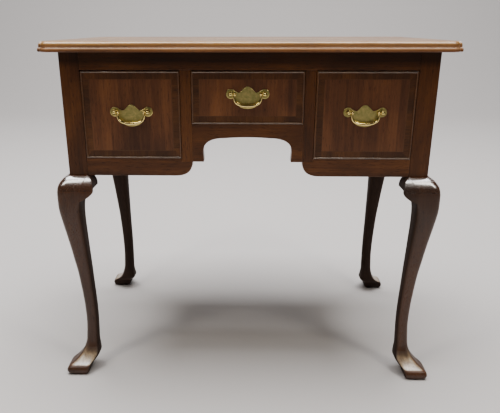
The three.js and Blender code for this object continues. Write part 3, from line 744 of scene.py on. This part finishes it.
def shape_bail(bm, pivot):
    # pushes a column out along the loop, then adds an eye and a pin at each end
    half = [Vector((x * eye_x, 0, z * bail_drop)) for x, z in bail_path]
    points = half + [Vector((-p.x, 0, p.z)) for p in reversed(half[:-1])]
    cut_column(bm, bail_sides, bail_steps)
    rubbed_and_sheen = vertex_values(bm, "wear_and_painted_sheen")
    forward = Vector((0, 1, 0))
    for vert in bm.verts:
        share = vert.co.z / bail_steps
        ahead = curve_point(points, min(share + direction_step, 1))
        behind = curve_point(points, max(share - direction_step, 0))
        across = (ahead - behind).normalized().cross(forward)
        swell = sin(pi * share) ** 2
        radius = bail_end_radius + (bail_grip_radius - bail_end_radius) * swell
        vert[rubbed_and_sheen] = end_wear + (1 - end_wear) * swell
        offset = forward * (radius * vert.co.x) + across * (radius * vert.co.y)
        vert.co = pivot + curve_point(points, share) + offset
    for sign in (-1, 1):
        eye = bmesh.ops.create_uvsphere(
            bm, u_segments=eye_meridians, v_segments=eye_parallels, radius=bail_eye_radius,
            matrix=Matrix.Translation(pivot + Vector((sign * eye_x, 0, 0))),
        )
        pin_middle = pivot + Vector((sign * (pin_end + eye_x) / 2, 0, 0))
        bmesh.ops.create_cone(
            bm, cap_ends=True, segments=bail_sides, radius1=pin_radius, radius2=pin_radius,
            depth=pin_end - eye_x,
            matrix=Matrix.Translation(pin_middle) @ Matrix.Rotation(pi / 2, 4, "Y"),
        )
        for vert in eye["verts"]:
            vert[rubbed_and_sheen] = eye_wear
    face_outwards(bm)


for side in drawers:
    node = f"handle_{side}_bail"
    low, high = (Vector(corner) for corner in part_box(node))
    pivot = Vector(((low.x + high.x) / 2, case_front - pivot_stand_off, high.z - bail_eye_radius))
    bm = bmesh.new()
    shape_bail(bm, pivot)
    fitted(bm, f"cast_{node}", [bail_brass], f"bail_{side}", [node])

# The top: one wide mahogany board with a small roll, a quirk and a larger roll worked along the
# front and both ends, and the two front corners notched in. The rolls are paler than the square
# edge below them, which is darker. The rolls' upward curves are partly rubbed by hands and partly
# painted light, and the square edge is painted shade. The flat top has a faded pale tone, which is
# lightened further as a painted reflection.
top_notch = 0.020
notch_step = 0.006
notch_flat = 0.001
corner_cuts = 8
square_edge_top = 0.0034
large_roll_foot = 0.0125
# Distances in from the edge and up from the underside, then how rubbed the wood is there, which on
# the upward curves of the rolls is also a painted highlight
edge_profile = (
    (0.0012, 0, 0), (0, 0.0012, 0), (0, 0.0034, 0), (0.0002, 0.0050, 0.2), (0.0007, 0.0062, 0.4),
    (0.0014, 0.0072, 0.6), (0.0021, 0.0078, 0.3), (0.0022, 0.0118, 0), (0.0025, 0.0138, 0.1),
    (0.0036, 0.0158, 0.3), (0.0054, 0.0174, 0.5), (0.0077, 0.0185, 0.3), (0.0104, 0.0189, 0),
)
# the flat top's tones are faded and paler, and are lightened further as a painted reflection; the
# rolls' tones are a painted lit copy, and the square edge's tones a painted shaded copy
top_tones_faded_and_glare = ((0.13, 0.052, 0.013), (0.27, 0.122, 0.030), (0.37, 0.185, 0.050), (0.5, 0.32, 0.13))
roll_tones_painted_lit = ((0.15, 0.06, 0.021), (0.28, 0.12, 0.044), (0.40, 0.19, 0.078), (0.6, 0.4, 0.22))
edge_tones_painted_shade = ((0.09, 0.032, 0.010), (0.17, 0.063, 0.020), (0.26, 0.10, 0.033), (0.48, 0.25, 0.11))
top_finish = wood(
    "top_mahogany", "X", top_tones_faded_and_glare, 51.0, roughness=0.32, wax=0.5, gloss=0.3,
    wax_roughness=0.1, wave=0.0001,
)
edge_finish = wood("top_edge_mahogany", "X", edge_tones_painted_shade, 53.0, roughness=0.34, gloss=0.3)
roll_finish = wood(
    "top_roll_mahogany", "X", roll_tones_painted_lit, 53.0, roughness=0.34, wax=0.15, gloss=0.35,
)
edge_face, roll_face = 1, 2


def top_outline(low, high, inset):
    # the corner is set out as distances from the end and from the front, then mirrored
    corner = [(top_notch + inset, inset), (top_notch + inset, notch_step + inset)]
    middle = top_notch - notch_flat
    radius = middle - notch_step - inset
    for cut in range(corner_cuts + 1):
        turn = pi / 2 * cut / corner_cuts
        corner.append((middle - radius * sin(turn), middle - radius * cos(turn)))
    corner += [(notch_step + inset, top_notch + inset), (inset, top_notch + inset)]
    left = [(low.x + across, low.y + deep) for across, deep in reversed(corner)]
    right = [(high.x - across, low.y + deep) for across, deep in corner]
    return [(low.x + inset, high.y), *left, *right, (high.x - inset, high.y)]


bm = bmesh.new()
rubbed_and_sheen = vertex_values(bm, "wear_and_painted_sheen")
low, high = (Vector(corner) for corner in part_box("top_board"))
rings = []
for inset, height, worn_and_sheen in edge_profile:
    ring = [bm.verts.new((x, y, low.z + height)) for x, y in top_outline(low, high, inset)]
    for vert in ring:
        vert[rubbed_and_sheen] = worn_and_sheen
    rings.append(ring)
for lower, upper in zip(rings, rings[1:]):
    for i in range(len(lower)):
        bm.faces.new((lower[i - 1], lower[i], upper[i], upper[i - 1]))
bm.faces.new(rings[0])
bm.faces.new(rings[-1])
face_outwards(bm)
for face in bm.faces:
    height = face.calc_center_median().z - low.z
    looks_back = face.normal.y > 0.9
    if height < square_edge_top or looks_back:
        face.material_index = edge_face
    elif height < large_roll_foot:
        face.material_index = roll_face
finishes = [top_finish, edge_finish, roll_finish]
fitted(bm, "moulded_top_board", finishes, "case", ["top_board"], limit=35)

# The studio: a pale seamless floor that sweeps up behind, a broad soft light overhead, one on
# each side in front, one for the backdrop, and the camera just above the table top.
sweep_colour = (0.52, 0.495, 0.485, 1)
sweep_roughness = 0.95
sweep_gloss = 0.1
sweep_half_width = 9.0
sweep_front = -6.0
sweep_back = 3.5
sweep_radius = 2.5
sweep_height = 6.0
sweep_steps = 24

bm = bmesh.new()
floor_line = [bm.verts.new((-sweep_half_width, y, 0)) for y in (sweep_front, sweep_back)]
bm.edges.new(floor_line)
bend = bmesh.ops.spin(
    bm, geom=[floor_line[1]], cent=(0, sweep_back, sweep_radius), axis=(1, 0, 0),
    angle=radians(90), steps=sweep_steps, use_merge=False,
)
wall_foot = [vert for vert in bend["geom_last"] if isinstance(vert, bmesh.types.BMVert)]
wall_top = bmesh.ops.extrude_vert_indiv(bm, verts=wall_foot)
bmesh.ops.translate(bm, verts=wall_top["verts"], vec=(0, 0, sweep_height))
sheet = bmesh.ops.extrude_edge_only(bm, edges=bm.edges[:])
far_side = [vert for vert in sheet["geom"] if isinstance(vert, bmesh.types.BMVert)]
bmesh.ops.translate(bm, verts=far_side, vec=(2 * sweep_half_width, 0, 0))
bmesh.ops.recalc_face_normals(bm, faces=bm.faces[:])
for face in bm.faces:
    face.smooth = True
paper, _, paper_shader = new_material("studio_paper")
paper_shader.inputs["Base Color"].default_value = sweep_colour
paper_shader.inputs["Roughness"].default_value = sweep_roughness
paper_shader.inputs["Specular IOR Level"].default_value = sweep_gloss
studio_floor = new_object(bm, "studio_floor", [paper])
studio_floor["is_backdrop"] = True


def soft_light(name, place, aim, size, power, colour=(1, 1, 1)):
    lamp = bpy.data.lights.new(name, "AREA")
    lamp.shape = "RECTANGLE"
    lamp.size, lamp.size_y = size
    lamp.energy = power
    lamp.color = colour
    lamp_object = bpy.data.objects.new(name, lamp)
    lamp_object.location = place
    lamp_object.rotation_euler = (Vector(aim) - Vector(place)).to_track_quat("-Z", "Y").to_euler()
    bpy.context.scene.collection.objects.link(lamp_object)


warm_light = (1, 0.95, 0.87)
soft_light(
    "overhead_light", place=(-0.14, 0.17, 3.8), aim=(-0.14, 0.17, 0), size=(3.4, 2.1), power=320,
)
for name, side in (("left_light", -1), ("right_light", 1)):
    soft_light(
        name, place=(side * 1.2, -1.2, 2.4), aim=(side * 0.3, -0.3, 0.45), size=(0.25, 1.4),
        power=18, colour=warm_light,
    )
soft_light("backdrop_light", place=(0, 2.4, 4.2), aim=(0, 5.8, 0.8), size=(9, 1.2), power=245)

air_colour = (1, 0.99, 0.98, 1)
air_strength = 0.035
world = bpy.data.worlds.new("studio_air")
world.use_nodes = True
world.node_tree.nodes["Background"].inputs["Color"].default_value = air_colour
world.node_tree.nodes["Background"].inputs["Strength"].default_value = air_strength
bpy.context.scene.world = world

camera_place = (0.0033, -1.2948, 0.7248)
camera_pitch = radians(90 - 19.26)
camera_turn = radians(1.65)
camera_roll = radians(0.07)
camera = bpy.data.cameras.new("camera")
camera.sensor_width = 36
camera.lens = 40.35
camera.shift_x = 0.0341
camera.shift_y = 0.0316
camera_object = bpy.data.objects.new("camera", camera)
camera_object.rotation_mode = "XYZ"
camera_object.location = camera_place
camera_object.rotation_euler = Euler((camera_pitch, camera_roll, camera_turn), "XYZ")
bpy.context.scene.collection.objects.link(camera_object)
bpy.context.scene.camera = camera_object

low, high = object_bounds()
